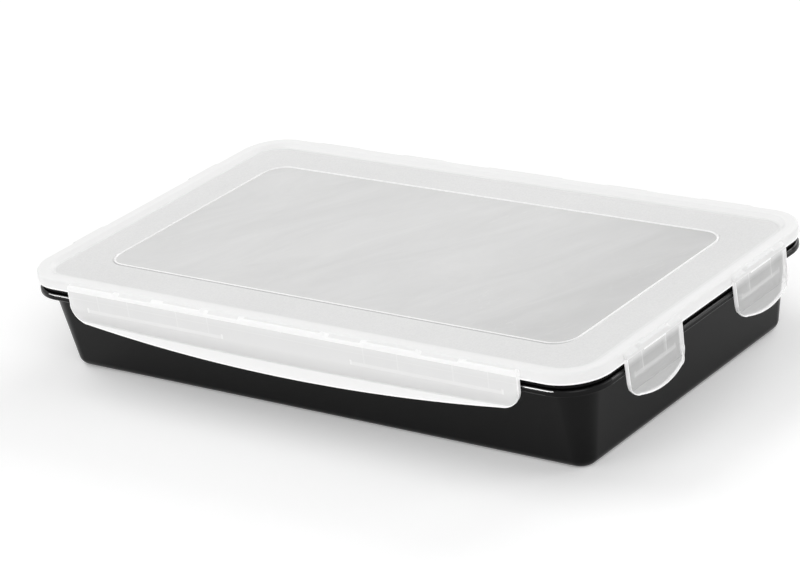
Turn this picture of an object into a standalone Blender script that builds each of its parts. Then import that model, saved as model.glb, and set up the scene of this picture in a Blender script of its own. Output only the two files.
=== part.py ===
"""A deep rectangular marinade tray in coated sheet steel, with a clip-on plastic lid.

The tray has drafted walls, rounded corners and a flange that ends in a rolled edge. The lid has a raised
border, a sunken panel with a fine ridge round its middle, and six flaps that hang from film hinges:
one long flap on each long side and two short ones on each end. A seal ring sits in the lid's border.

Metres, +Z up, X along the tray. The origin is on the surface that the tray stands on, below its middle.
"""

import math

import bmesh
import bpy
from mathutils import Matrix, Vector

for old in list(bpy.data.objects):
    bpy.data.objects.remove(old, do_unlink=True)

# ---- lid outline, over the skirt ----
LID_LENGTH = 0.3972
LID_WIDTH = 0.2300
CORNER_RADIUS = 0.0255
CLEARANCE = 0.0003

# ---- tray ----
TRAY_HEIGHT = 0.0529
SHEET = 0.0008
RIM_INSET = 0.0004
BEAD_RADIUS = 0.0023
FLANGE_WIDTH = 0.0077
WALL_DRAFT = 0.0083
FLANGE_BEND = 0.0020
FOOT_RADIUS = 0.0063

# ---- lid ----
RIM_GAP = 0.0037
BORDER_HEIGHT = 0.0066
BORDER_WIDTH = 0.0106
BORDER_SLOPE = 0.0036
SHOULDER_RADIUS = 0.0015
CROWN_RISE = 0.00015
PANEL_DROP = 0.0027
LID_WALL = 0.0016
RIDGE_MARGIN = 0.0252
RIDGE_CORNER = 0.0131
RIDGE_WIDTH = 0.0013
RIDGE_HEIGHT = 0.0007
PLUG_INSET = 0.0011
PLUG_WALL = 0.0014
PLUG_DEPTH = 0.0029
GROOVE_RIB = 0.0012
GROOVE_DEPTH = 0.0041

# ---- seal ring ----
SEAL_WIDTH = 0.0053
SEAL_NOSE = 0.0012

# ---- flaps ----
FLAP_PROUD = 0.0024
FLAP_SHEET = 0.0013
FLAP_EDGE_DEPTH = 0.0021
FLAP_EDGE_WIDTH = 0.0016
FLAP_TAPER = 0.0008
HINGE_DROP = 0.0046
LIP_FLARE = 0.435
LIP_LEAST = 0.0004
LONG_FLAP_LENGTH = 0.3170
LONG_FLAP_DROP = 0.0266
LONG_FLAP_SAG = 0.0073
LONG_FOLD_DROP = 0.0197
LONG_FOLD_SAG = 0.0024
LONG_CORNER_WIDTH = 0.0120
LONG_CORNER_HEIGHT = 0.0103
SHORT_FLAP_LENGTH = 0.0525
SHORT_FLAP_DROP = 0.0252
SHORT_FLAP_SAG = 0.0030
SHORT_FOLD_DROP = 0.0183
SHORT_FOLD_SAG = 0.0
SHORT_CORNER_WIDTH = 0.0060
SHORT_CORNER_HEIGHT = 0.0080
SHORT_FLAP_PITCH = 0.1052

# ---- latch bars and their ribs, inside the flaps ----
BAR_HEIGHT = 0.0020
BAR_CHAMFER = 0.0007
BAR_BELOW_BEAD = 0.0009
LONG_BAR_LENGTH = 0.1022
LONG_BAR_PITCH = 0.1920
SHORT_BAR_LENGTH = 0.0396
RIB_WIDTH = 0.0010
LONG_RIB_SPACINGS = (-0.0410, -0.0180, 0.0187, 0.0417)
SHORT_RIB_SPACING = 0.0224

# ---- hinge lands on the lid, above the flaps ----
LAND_HEIGHT = 0.0032
LAND_LOW_HEIGHT = 0.0017
LAND_ROOT = 0.0012
LONG_LAND_LENGTH = 0.0371
LONG_LAND_GAP = 0.0276
SHORT_LAND_LENGTH = 0.0278

CORNER_STEPS = 8

# ---- sizes that follow from those above ----
HALF_X = LID_LENGTH / 2
HALF_Y = LID_WIDTH / 2
SKIRT_Z = TRAY_HEIGHT + RIM_GAP
CREST_Z = SKIRT_Z + BORDER_HEIGHT
PANEL_Z = CREST_Z - PANEL_DROP
HINGE_Z = CREST_Z - HINGE_DROP
BEAD_Z = TRAY_HEIGHT - BEAD_RADIUS
BEAD_INSET = RIM_INSET + BEAD_RADIUS
BAR_Z = BEAD_Z - BEAD_RADIUS - BAR_BELOW_BEAD


def material(name, colour, roughness, metallic=0.0):
    made = bpy.data.materials.new(name)
    made.use_nodes = True
    shader = made.node_tree.nodes["Principled BSDF"]
    shader.inputs["Base Color"].default_value = (*colour, 1.0)
    shader.inputs["Roughness"].default_value = roughness
    shader.inputs["Metallic"].default_value = metallic
    made.diffuse_color = (*colour, 1.0)
    return made


def finish(name, bm, surface, angle=40.0):
    """Turns a closed bmesh into an object with outward faces and smooth shading."""
    bmesh.ops.remove_doubles(bm, verts=bm.verts, dist=1e-7)
    bmesh.ops.recalc_face_normals(bm, faces=bm.faces)
    mesh = bpy.data.meshes.new(name)
    bm.to_mesh(mesh)
    bm.free()
    mesh.materials.append(surface)
    mesh.shade_smooth()
    mesh.set_sharp_from_angle(angle=math.radians(angle))
    made = bpy.data.objects.new(name, mesh)
    bpy.context.collection.objects.link(made)
    return made


def cutter(name, bm):
    """A helper solid that only feeds a Boolean."""
    made = finish(name, bm, helper)
    made.hide_render = True
    made.display_type = "WIRE"
    return made


def join(base, other):
    step = base.modifiers.new("join " + other.name, "BOOLEAN")
    step.operation = "UNION"
    step.solver = "EXACT"
    step.object = other


def ring(half_x, half_y, radius, z):
    """Points of a rounded rectangle, anticlockwise, with the same count whatever its radius."""
    radius = max(radius, 0.0005)
    points = []
    corners = ((1, 1, 0.0), (-1, 1, 0.5), (-1, -1, 1.0), (1, -1, 1.5))
    for sx, sy, start in corners:
        cx = sx * (half_x - radius)
        cy = sy * (half_y - radius)
        for step in range(CORNER_STEPS + 1):
            turn = (start + 0.5 * step / CORNER_STEPS) * math.pi
            points.append(Vector((cx + radius * math.cos(turn), cy + radius * math.sin(turn), z)))
    return points


def inset_ring(inset, z):
    """A ring that runs a set distance in from the outer face of the lid's skirt."""
    return ring(HALF_X - inset, HALF_Y - inset, CORNER_RADIUS - inset, z)


def arc(centre, radius, start, end, steps):
    """Inset and height along an arc, angles in degrees from the direction of growing inset."""
    points = []
    for step in range(steps + 1):
        turn = math.radians(start + (end - start) * step / steps)
        points.append((centre[0] + radius * math.cos(turn), centre[1] + radius * math.sin(turn)))
    return points


def loft(rings, closed):
    """Skins a chain of rings: capped at both ends, or closed on itself."""
    bm = bmesh.new()
    loops = [[bm.verts.new(p) for p in points] for points in rings]
    pairs = list(zip(loops[:-1], loops[1:]))
    if closed:
        pairs.append((loops[-1], loops[0]))
    for low, high in pairs:
        for k in range(len(low)):
            nxt = (k + 1) % len(low)
            bm.faces.new((low[k], low[nxt], high[nxt], high[k]))
    if not closed:
        bm.faces.new(loops[0])
        bm.faces.new(loops[-1])
    return bm


coating = material("coated_steel", (0.018, 0.018, 0.019), 0.36)
plastic = material("clear_white_plastic", (0.80, 0.81, 0.80), 0.32)
silicone = material("dark_silicone", (0.03, 0.03, 0.032), 0.55)
helper = material("helper", (0.5, 0.5, 0.5), 0.5)


def build_tray():
    # the outer face of the wall leans from the flange down to the foot
    top_inset = RIM_INSET + FLANGE_WIDTH
    foot_inset = top_inset + WALL_DRAFT
    lean = math.atan2(WALL_DRAFT, TRAY_HEIGHT - SHEET - FLANGE_BEND)
    along = Vector((-math.sin(lean), math.cos(lean)))
    inward = Vector((math.cos(lean), math.sin(lean)))

    def wall_at(z):
        return Vector((foot_inset + along.x / along.y * z, z))

    foot_touch = wall_at(FOOT_RADIUS * (1 - inward.y))
    foot_centre = foot_touch + inward * FOOT_RADIUS
    under = TRAY_HEIGHT - SHEET
    bend_touch = wall_at(under - FLANGE_BEND + FLANGE_BEND * inward.y)
    bend_centre = bend_touch - inward * FLANGE_BEND
    lean_deg = math.degrees(lean)
    bead_centre = (BEAD_INSET, BEAD_Z)
    rise = under - BEAD_Z
    tuck = math.degrees(math.asin(rise / BEAD_RADIUS))

    chain = arc(foot_centre, FOOT_RADIUS, -90, -180 + lean_deg, 5)
    chain += arc(bend_centre, FLANGE_BEND, lean_deg, 90, 3)
    chain += arc(bead_centre, BEAD_RADIUS, tuck, -270, 14)
    chain += arc(bend_centre, FLANGE_BEND + SHEET, 90, lean_deg, 4)
    chain += arc(foot_centre, FOOT_RADIUS - SHEET, -180 + lean_deg, -90, 5)
    rings = [inset_ring(i, z) for i, z in chain]
    return finish("tray", loft(rings, False), coating)


def build_lid():
    ridge_x = HALF_X - BORDER_WIDTH - RIDGE_MARGIN
    ridge_y = HALF_Y - BORDER_WIDTH - RIDGE_MARGIN
    half = RIDGE_WIDTH / 2

    def ridge_ring(out, z):
        return ring(ridge_x + out, ridge_y + out, RIDGE_CORNER + out, z)

    rings = [ridge_ring(-half, PANEL_Z)]
    rings.append(ridge_ring(-half * 0.55, PANEL_Z + RIDGE_HEIGHT * 0.8))
    rings.append(ridge_ring(0.0, PANEL_Z + RIDGE_HEIGHT))
    rings.append(ridge_ring(half * 0.55, PANEL_Z + RIDGE_HEIGHT * 0.8))
    rings.append(ridge_ring(half, PANEL_Z))

    # over the border, from the panel's edge to the bottom of the skirt
    crown_in = BORDER_WIDTH - BORDER_SLOPE
    edge_z = CREST_Z - CROWN_RISE
    chain = [(BORDER_WIDTH, PANEL_Z)]
    chain.append((crown_in + 0.0004, edge_z - 0.0002))
    chain.append((crown_in - 0.0003, edge_z))
    chain.append(((crown_in + SHOULDER_RADIUS) / 2, CREST_Z))
    chain += arc((SHOULDER_RADIUS, edge_z - SHOULDER_RADIUS), SHOULDER_RADIUS, 90, 180, 4)
    chain.append((0.0, SKIRT_Z))

    # up inside the skirt, across the groove, and down and up the plug that enters the tray
    roof = CREST_Z - LID_WALL
    groove_end = LID_WALL + SEAL_WIDTH + 2 * CLEARANCE
    plug_out = BORDER_WIDTH - SHEET + PLUG_INSET - CLEARANCE * 2
    plug_in = plug_out + PLUG_WALL
    under_slope = PANEL_Z - LID_WALL + 0.0008
    chain.append((LID_WALL, SKIRT_Z))
    chain.append((LID_WALL, roof))
    chain.append((groove_end, roof))
    chain.append((groove_end, roof - GROOVE_DEPTH))
    chain.append((groove_end + GROOVE_RIB, roof - GROOVE_DEPTH))
    chain.append((groove_end + GROOVE_RIB, under_slope + 0.0006))
    chain.append((plug_out, under_slope))
    chain.append((plug_out, TRAY_HEIGHT - PLUG_DEPTH))
    chain.append((plug_in, TRAY_HEIGHT - PLUG_DEPTH))
    chain.append((plug_in, PANEL_Z - LID_WALL))
    rings += [inset_ring(i, z) for i, z in chain]
    lid = finish("lid", loft(rings, False), plastic)

    lands = bmesh.new()
    for turn, centre, out, steps in land_rows():
        add_land(lands, turn, centre, out, steps)
    join(lid, cutter("hinge_lands", lands))
    return lid


def land_rows():
    """Each flap's land: its turn about Z, its centre along the side, its side's distance, its steps."""
    half = LONG_FLAP_LENGTH / 2
    end = half - LONG_LAND_LENGTH
    inner_out = end - LONG_LAND_GAP
    inner_in = inner_out - LONG_LAND_LENGTH
    middle = inner_in - LONG_LAND_GAP
    long_steps = [(-half, -end, 1), (-end, -inner_out, 0), (-inner_out, -inner_in, 1)]
    long_steps += [(-inner_in, -middle, 0), (-middle, middle, 1), (middle, inner_in, 0)]
    long_steps += [(inner_in, inner_out, 1), (inner_out, end, 0), (end, half, 1)]
    short = SHORT_FLAP_LENGTH / 2
    pad = SHORT_LAND_LENGTH / 2
    short_steps = [(-short, -pad, 0), (-pad, pad, 1), (pad, short, 0)]
    rows = [(0, 0.0, HALF_Y, long_steps), (180, 0.0, HALF_Y, long_steps)]
    for turn in (90, 270):
        for side in (-1, 1):
            rows.append((turn, side * SHORT_FLAP_PITCH / 2, HALF_X, short_steps))
    return rows


def add_land(bm, turn, centre, out, steps):
    """A battlemented bar that stands out of the skirt, above one flap."""
    bottom = HINGE_Z + CLEARANCE
    tall = bottom + LAND_HEIGHT
    low = bottom + LAND_LOW_HEIGHT
    outline = [(steps[-1][1], bottom), (steps[0][0], bottom)]
    for start, end, full in steps:
        top = tall if full else low
        outline.append((start, top))
        outline.append((end, top))
    place = Matrix.Rotation(math.radians(turn), 4, "Z")
    front = -(out + FLAP_PROUD)
    back = -(out - LAND_ROOT)
    faces = []
    for y in (front, back):
        verts = [bm.verts.new(place @ Vector((centre + x, y, z))) for x, z in outline]
        faces.append(verts)
    bm.faces.new(faces[0])
    bm.faces.new(list(reversed(faces[1])))
    for k in range(len(outline)):
        nxt = (k + 1) % len(outline)
        bm.faces.new((faces[0][k], faces[0][nxt], faces[1][nxt], faces[1][k]))


def build_seal():
    top = CREST_Z - LID_WALL - CLEARANCE
    bottom = TRAY_HEIGHT + CLEARANCE
    outer = LID_WALL + CLEARANCE
    inner = outer + SEAL_WIDTH
    chain = [(outer, top), (inner, top), (inner, bottom + SEAL_NOSE)]
    chain += [(inner - SEAL_NOSE, bottom), (outer + SEAL_NOSE, bottom), (outer, bottom + SEAL_NOSE)]
    rings = [inset_ring(i, z) for i, z in chain]
    return finish("seal_ring", loft(rings, True), silicone)


def flap_columns(half, corner):
    """Places along a flap, close together at its rounded corners and at its thick ends."""
    step = FLAP_EDGE_WIDTH
    places = [half, half - corner * 0.025, half - corner * 0.1, half - step, half - step - 0.0001]
    places += [half - corner * k for k in (0.25, 0.45, 0.7, 1.0)]
    rest = half - corner
    count = max(2, round(rest / 0.020))
    places += [rest * (1 - k / count) for k in range(1, count + 1)]
    places = sorted(set(round(p, 7) for p in places if p > 0), reverse=True)
    return [-p for p in places] + [0.0] + list(reversed(places))


def flap_mesh(length, drop, sag, fold, fold_sag, corner_w, corner_h):
    """A flap hanging from its hinge line, its outer face on the plane of the axis."""
    half = length / 2
    knee = half - corner_w
    knee_drop = drop - sag
    bm = bmesh.new()
    outer_rows = []
    inner_rows = []
    for x in flap_columns(half, corner_w):
        reach = abs(x)
        if reach <= knee:
            low = drop - sag * (reach / knee) ** 2
        else:
            part = min(1.0, (reach - knee) / corner_w)
            low = knee_drop - corner_h + corner_h * math.sqrt(1 - part * part)
        crease = min(fold - fold_sag * (reach / half) ** 2, low - LIP_LEAST)
        thick = FLAP_EDGE_DEPTH if reach >= half - FLAP_EDGE_WIDTH - 1e-6 else FLAP_SHEET
        outer = []
        inner = []
        for depth in (CLEARANCE, crease, (crease + low) / 2, low):
            taper = 1 - FLAP_TAPER / half * depth / drop
            flare = LIP_FLARE * max(0.0, depth - crease)
            wall = thick if depth <= crease else min(thick, FLAP_SHEET)
            outer.append(bm.verts.new((x * taper, -flare, -depth)))
            inner.append(bm.verts.new((x * taper, wall - flare, -depth)))
        outer_rows.append(outer)
        inner_rows.append(inner)
    rows = len(outer_rows[0])
    for k in range(len(outer_rows) - 1):
        for r in range(rows - 1):
            bm.faces.new((outer_rows[k][r], outer_rows[k + 1][r], outer_rows[k + 1][r + 1], outer_rows[k][r + 1]))
            bm.faces.new((inner_rows[k][r], inner_rows[k][r + 1], inner_rows[k + 1][r + 1], inner_rows[k + 1][r]))
        bm.faces.new((outer_rows[k][0], inner_rows[k][0], inner_rows[k + 1][0], outer_rows[k + 1][0]))
        bm.faces.new((outer_rows[k][-1], outer_rows[k + 1][-1], inner_rows[k + 1][-1], inner_rows[k][-1]))
    for k in (0, -1):
        for r in range(rows - 1):
            bm.faces.new((outer_rows[k][r], outer_rows[k][r + 1], inner_rows[k][r + 1], inner_rows[k][r]))
    return bm


def add_comb(bm, centre, length, ribs):
    """A latch bar with the ribs that stand above it, proud of the flap's inner face."""
    top = BAR_Z - HINGE_Z
    bottom = top - BAR_HEIGHT
    rib_top = SKIRT_Z - 2 * CLEARANCE - HINGE_Z
    left = centre - length / 2
    right = centre + length / 2
    outline = [(left + BAR_CHAMFER, bottom), (right - BAR_CHAMFER, bottom), (right, bottom + BAR_CHAMFER), (right, top)]
    for rib in sorted(ribs, reverse=True):
        outline += [(rib + RIB_WIDTH / 2, top), (rib + RIB_WIDTH / 2, rib_top)]
        outline += [(rib - RIB_WIDTH / 2, rib_top), (rib - RIB_WIDTH / 2, top)]
    outline += [(left, top), (left, bottom + BAR_CHAMFER)]
    root = FLAP_SHEET * 0.6
    tip = FLAP_PROUD + RIM_INSET - CLEARANCE
    near = [bm.verts.new((x, root, z)) for x, z in outline]
    far = [bm.verts.new((x, tip, z)) for x, z in outline]
    bm.faces.new(near)
    bm.faces.new(list(reversed(far)))
    for k in range(len(outline)):
        nxt = (k + 1) % len(outline)
        bm.faces.new((near[k], near[nxt], far[nxt], far[k]))


def build_flap(name, turn, centre, out, long_side):
    if long_side:
        bm = flap_mesh(LONG_FLAP_LENGTH, LONG_FLAP_DROP, LONG_FLAP_SAG, LONG_FOLD_DROP,
                       LONG_FOLD_SAG, LONG_CORNER_WIDTH, LONG_CORNER_HEIGHT)
    else:
        bm = flap_mesh(SHORT_FLAP_LENGTH, SHORT_FLAP_DROP, SHORT_FLAP_SAG, SHORT_FOLD_DROP,
                       SHORT_FOLD_SAG, SHORT_CORNER_WIDTH, SHORT_CORNER_HEIGHT)
    flap = finish(name, bm, plastic, 30.0)
    combs = bmesh.new()
    if long_side:
        for side in (-1, 1):
            middle = side * LONG_BAR_PITCH / 2
            ribs = [middle + side * r for r in LONG_RIB_SPACINGS]
            add_comb(combs, middle, LONG_BAR_LENGTH, ribs)
    else:
        ribs = [-SHORT_RIB_SPACING / 2, SHORT_RIB_SPACING / 2]
        add_comb(combs, 0.0, SHORT_BAR_LENGTH, ribs)
    comb = cutter(name + "_latch", combs)
    join(flap, comb)
    place = Matrix.Rotation(math.radians(turn), 4, "Z") @ Matrix.Translation((centre, -(out + FLAP_PROUD), HINGE_Z))
    flap.matrix_world = place
    comb.matrix_world = place
    return flap


build_tray()
build_lid()
build_seal()
pitch = SHORT_FLAP_PITCH / 2
build_flap("front_flap", 0, 0.0, HALF_Y, True)
build_flap("rear_flap", 180, 0.0, HALF_Y, True)
build_flap("right_front_flap", 90, -pitch, HALF_X, False)
build_flap("right_rear_flap", 90, pitch, HALF_X, False)
build_flap("left_rear_flap", 270, -pitch, HALF_X, False)
build_flap("left_front_flap", 270, pitch, HALF_X, False)
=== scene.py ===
"""A marinade tray in coated sheet steel under a clip-on lid of translucent plastic.

Everything is in metres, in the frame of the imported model: X along the tray, Z up.
"""

import math

import bmesh
import bpy
from mathutils import Matrix, Vector


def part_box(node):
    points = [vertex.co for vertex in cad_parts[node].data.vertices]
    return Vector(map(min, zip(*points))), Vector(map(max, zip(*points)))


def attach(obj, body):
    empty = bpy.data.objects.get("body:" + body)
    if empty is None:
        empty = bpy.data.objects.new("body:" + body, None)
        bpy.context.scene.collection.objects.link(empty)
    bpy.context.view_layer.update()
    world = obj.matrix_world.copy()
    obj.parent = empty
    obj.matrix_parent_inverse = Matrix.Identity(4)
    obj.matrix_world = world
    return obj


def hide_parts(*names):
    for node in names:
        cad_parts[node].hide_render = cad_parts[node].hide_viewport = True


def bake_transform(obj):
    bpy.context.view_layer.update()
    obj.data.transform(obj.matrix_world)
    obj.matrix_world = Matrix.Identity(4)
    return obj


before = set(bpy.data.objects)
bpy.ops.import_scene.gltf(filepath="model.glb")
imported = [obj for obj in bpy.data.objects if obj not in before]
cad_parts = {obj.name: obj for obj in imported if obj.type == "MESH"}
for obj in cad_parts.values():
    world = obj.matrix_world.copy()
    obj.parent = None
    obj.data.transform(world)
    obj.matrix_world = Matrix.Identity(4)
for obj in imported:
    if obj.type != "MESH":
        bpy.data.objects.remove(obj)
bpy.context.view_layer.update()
tray_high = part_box("tray")[1]


# The camera and the view
# A long lens looks down at the tray's front right corner, and leans a little to one side.
CAMERA_PLACE = (1.10610, -1.31419, 0.75169)
CAMERA_AIM = (-0.01694, 0.00701, 0.03)
CAMERA_LEAN = math.radians(-8.02)


def facing(place, target):
    """A transform that stands at one point and looks at another."""
    turn = (Vector(target) - Vector(place)).to_track_quat("-Z", "Y")
    return Matrix.Translation(place) @ turn.to_matrix().to_4x4()


view = bpy.data.cameras.new("view")
view.sensor_width = 36.0
view.lens = 146.79
view.clip_start = 0.05
view.clip_end = 30.0
camera = bpy.data.objects.new("view", view)
camera.matrix_world = facing(CAMERA_PLACE, CAMERA_AIM) @ Matrix.Rotation(CAMERA_LEAN, 4, "Z")
bpy.context.scene.collection.objects.link(camera)
bpy.context.scene.camera = camera
bpy.context.scene.view_settings.view_transform = "Standard"


# The floor, the room and the lamps
# A white table in an even white room, with soft lamps to the left, behind, to the right and at both sides
# of the front.
ROOM_LEVEL = 0.35
FLOOR_REACH = 4.0
FLOOR_TOP = -0.0001
FLOOR_TONE = 0.93
FLOOR_SEEN = 0.95
FLOOR_LIFT = 0.17


def softbox(name, place, target, width, height, watts):
    """A rectangular lamp that faces a point."""
    lamp = bpy.data.lights.new(name, "AREA")
    lamp.shape = "RECTANGLE"
    lamp.size = width
    lamp.size_y = height
    lamp.energy = watts
    holder = bpy.data.objects.new(name, lamp)
    holder.matrix_world = facing(place, target)
    bpy.context.scene.collection.objects.link(holder)


softbox("left_lamp", (-1.8, 0.0, 1.96), (0.0, 0.0, 0.0), width=1.6, height=1.2, watts=19.0)
softbox("front_left_lamp", (-1.10, -2.00, 0.75), (0.0, 0.0, 0.05), width=1.6, height=0.9, watts=12.0)
softbox("front_right_lamp", (1.6, -1.4, 1.6), (0.0, 0.0, 0.0), width=1.6, height=1.3, watts=21.0)
softbox("back_lamp", (0.2, 2.0, 1.1), (0.0, 0.0, 0.0), width=1.4, height=1.0, watts=15.0)
softbox("right_lamp", (1.9, 1.2, 1.0), (0.0, 0.0, 0.0), width=1.2, height=0.9, watts=8.5)


def grey(level):
    return (level, level, level, 1.0)


def set_node(tree, kind, inputs, settings):
    """A new node in a tree, with its settings and its plain or linked inputs."""
    made = tree.nodes.new(kind)
    for key, value in settings.items():
        setattr(made, key, value)
    for key, value in inputs.items():
        for source in value if isinstance(value, list) else [value]:
            if isinstance(source, bpy.types.NodeSocket):
                tree.links.new(source, made.inputs[key])
            else:
                made.inputs[key].default_value = source
    return made


def add_node(owner, kind, inputs=None, **settings):
    """A shader node in a material or world."""
    return set_node(owner.node_tree, "ShaderNode" + kind, inputs or {}, settings)


def maths(owner, operation, one, other=0.0):
    return add_node(owner, "Math", {0: one, 1: other}, operation=operation).outputs[0]


def mix_colours(owner, share, one, other):
    made = add_node(owner, "Mix", {"Factor": share, "A": one, "B": other}, data_type="RGBA")
    return made.outputs["Result"]


def shader_of(material):
    return material.node_tree.nodes["Principled BSDF"]


def feed(material, label, source):
    """Sets a socket of a material's shader to a plain value, or links it to another node."""
    socket = shader_of(material).inputs[label]
    if isinstance(source, bpy.types.NodeSocket):
        material.node_tree.links.new(source, socket)
    else:
        socket.default_value = source


def new_material(name, plain):
    """A material whose shader has these plain values."""
    made = bpy.data.materials.new(name)
    made.use_nodes = True
    for label, value in plain.items():
        feed(made, label, value)
    return made


room = bpy.data.worlds.new("room")
room.use_nodes = True
room.node_tree.nodes.clear()
room_rays = add_node(room, "LightPath").outputs
room_light = add_node(room, "Background", {"Color": grey(1.0), "Strength": ROOM_LEVEL})
room_white = add_node(room, "Background", {"Color": grey(1.0)})
room_seen = maths(room, "MAXIMUM", room_rays["Is Camera Ray"], room_rays["Is Glossy Ray"])
room_seen = maths(room, "MAXIMUM", room_seen, room_rays["Is Transmission Ray"])
room_mix = add_node(room, "MixShader", {
    "Fac": room_seen, 1: room_light.outputs[0], 2: room_white.outputs[0],
})
add_node(room, "OutputWorld", {"Surface": room_mix.outputs[0]})
bpy.context.scene.world = room

floor_mesh = bpy.data.meshes.new("floor")
floor_mesh.from_pydata([(x * FLOOR_REACH, y * FLOOR_REACH, FLOOR_TOP)
                        for x, y in ((-1, -1), (1, -1), (1, 1), (-1, 1))], [], [(0, 1, 2, 3)])
floor = bpy.data.objects.new("floor", floor_mesh)
bpy.context.scene.collection.objects.link(floor)
paper = new_material("white_paper", {
    "Roughness": 0.9, "Specular IOR Level": 0.1, "Emission Color": grey(1.0),
})
paper_seen = add_node(paper, "LightPath").outputs["Is Camera Ray"]
feed(paper, "Base Color", mix_colours(paper, paper_seen, grey(FLOOR_TONE), grey(FLOOR_SEEN)))
feed(paper, "Emission Strength", maths(paper, "MULTIPLY", paper_seen, FLOOR_LIFT))
floor_mesh.materials.append(paper)


# The tray
# One pressing in 0.8 mm sheet steel with leaning walls and a round foot. Its flange is rolled under into
# a bead, and a dark non-stick coating covers it inside and out. A bright metal strip along the bead's
# front and back is a painted highlight.
SHEET = 0.0008
RIM_INSET = 0.0004
FLANGE_WIDTH = 0.0077
WALL_DRAFT = 0.0083
FLANGE_BEND = 0.0020
BEAD_RADIUS = 0.0023
ROLL_TOP = 0.0015
ROLL_FOOT = 0.0008
ROLL_HEIGHT = 0.0038
ROLL_DEPTH = 0.0034
ROLL_GAP = 0.0002
FOOT_RADIUS = 0.0063
FOOT_MARGIN = 0.0040
OUTLINE_RADIUS = 0.0255
CORNER_STEPS = 24
EDGE_REACH = 0.0060
HIGHLIGHT_LOW = 0.00042
HIGHLIGHT_HIGH = 0.00080
NEARLY_STRAIGHT = 0.98
STRAIGHT = 0.9999
FACING_DOWN = -0.8
LEAST_TURN = 0.00001
TINY = 1e-6
COATING_DARK = (0.0025, 0.0025, 0.0026)
COATING_PALE = (0.0045, 0.0045, 0.0046)
HIGHLIGHT_VARIES = 1.1
BUMP_DEPTH = 0.0002
half_x = tray_high.x + RIM_INSET
half_y = tray_high.y + RIM_INSET
flange_z = tray_high.z


def arc(centre, radius, start, end, steps):
    """Points on an arc in a section, as inset and height, angles in degrees."""
    points = []
    for k in range(steps + 1):
        turn = math.radians(start + (end - start) * k / steps)
        points.append((centre[0] + radius * math.cos(turn), centre[1] + radius * math.sin(turn)))
    return points


def start_tree(name, inputs):
    """A geometry node tree with these inputs, and the sockets that give them."""
    tree = bpy.data.node_groups.new(name, "GeometryNodeTree")
    tree.is_modifier = True
    for label, kind in inputs.items():
        tree.interface.new_socket(label, in_out="INPUT", socket_type="NodeSocket" + kind)
    tree.interface.new_socket("Piece", in_out="OUTPUT", socket_type="NodeSocketGeometry")
    return tree, set_node(tree, "NodeGroupInput", {}, {}).outputs


def grow(tree, kind, inputs, **settings):
    """The result of a new geometry node."""
    return set_node(tree, "GeometryNode" + kind, inputs, settings).outputs[0]


def end_tree(tree, given, shape):
    """Makes instances real, and gives them their finish."""
    real = grow(tree, "RealizeInstances", {0: shape})
    finished = grow(tree, "SetMaterial", {"Geometry": real, "Material": given["Finish"]})
    set_node(tree, "NodeGroupOutput", {0: finished}, {})
    return tree


def sweep_tree():
    """Geometry nodes that carry a section round a rounded rectangle."""
    tree, given = start_tree("section_round_outline", {
        "Section": "Geometry", "Length": "Float", "Width": "Float", "Corner Radius": "Float",
        "Corner Steps": "Int", "Finish": "Material",
    })
    outline = grow(tree, "CurvePrimitiveQuadrilateral", {"Width": given["Length"], "Height": given["Width"]})
    corners = grow(tree, "FilletCurve", {
        "Curve": outline, "Radius": given["Corner Radius"], "Count": given["Corner Steps"],
    }, mode="POLY")
    upright = grow(tree, "SetCurveNormal", {"Curve": corners}, mode="Z_UP")
    section = grow(tree, "MeshToCurve", {0: given["Section"]})
    laid = grow(tree, "Transform", {"Geometry": section, "Rotation": (math.pi / 2, 0.0, 0.0)})
    skin = grow(tree, "CurveToMesh", {"Curve": upright, "Profile Curve": laid})
    return end_tree(tree, given, skin)


def keep_result(piece, step):
    """Makes what a modifier gives the piece's own plain mesh."""
    graph = bpy.context.evaluated_depsgraph_get()
    made = bpy.data.meshes.new_from_object(piece.evaluated_get(graph), depsgraph=graph)
    piece.modifiers.remove(step)
    old = piece.data
    piece.data = made
    bpy.data.meshes.remove(old)
    made.name = piece.name


def bake(piece, tree, inputs):
    """Runs a node tree on a piece's mesh and keeps the result."""
    step = piece.modifiers.new(tree.name, "NODES")
    step.node_group = tree
    for item in tree.interface.items_tree:
        if item.in_out == "INPUT" and item.name in inputs:
            step[item.identifier] = inputs[item.name]
    keep_result(piece, step)


def new_piece(name, mesh):
    piece = bpy.data.objects.new(name, mesh)
    bpy.context.scene.collection.objects.link(piece)
    return piece


outline_tree = sweep_tree()


def swept(name, chain, finish, length=2 * half_x, width=2 * half_y, radius=OUTLINE_RADIUS, closed=False):
    """A piece whose section, as inset and height, runs round a rounded rectangle."""
    mesh = bpy.data.meshes.new(name)
    points = [(-inset, 0.0, z) for inset, z in chain]
    edges = [(k, k + 1) for k in range(len(points) - 1)]
    if closed:
        edges.append((len(points) - 1, 0))
    mesh.from_pydata(points, edges, [])
    piece = new_piece(name, mesh)
    bake(piece, outline_tree, {
        "Length": length, "Width": width, "Corner Radius": radius,
        "Corner Steps": CORNER_STEPS, "Finish": finish,
    })
    return piece


def smooth(mesh, angle=35.0):
    mesh.shade_smooth()
    mesh.set_sharp_from_angle(angle=math.radians(angle))


def store(bm, mesh):
    """Turns the faces outwards and keeps them as the mesh."""
    bmesh.ops.recalc_face_normals(bm, faces=bm.faces)
    bm.to_mesh(mesh)
    bm.free()
    return mesh


def close_flats(mesh):
    """Fills the open loops that a sweep leaves round a flat middle."""
    bm = bmesh.new()
    bm.from_mesh(mesh)
    bmesh.ops.remove_doubles(bm, verts=bm.verts, dist=TINY)
    bmesh.ops.holes_fill(bm, edges=[e for e in bm.edges if e.is_boundary], sides=0)
    store(bm, mesh)


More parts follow.
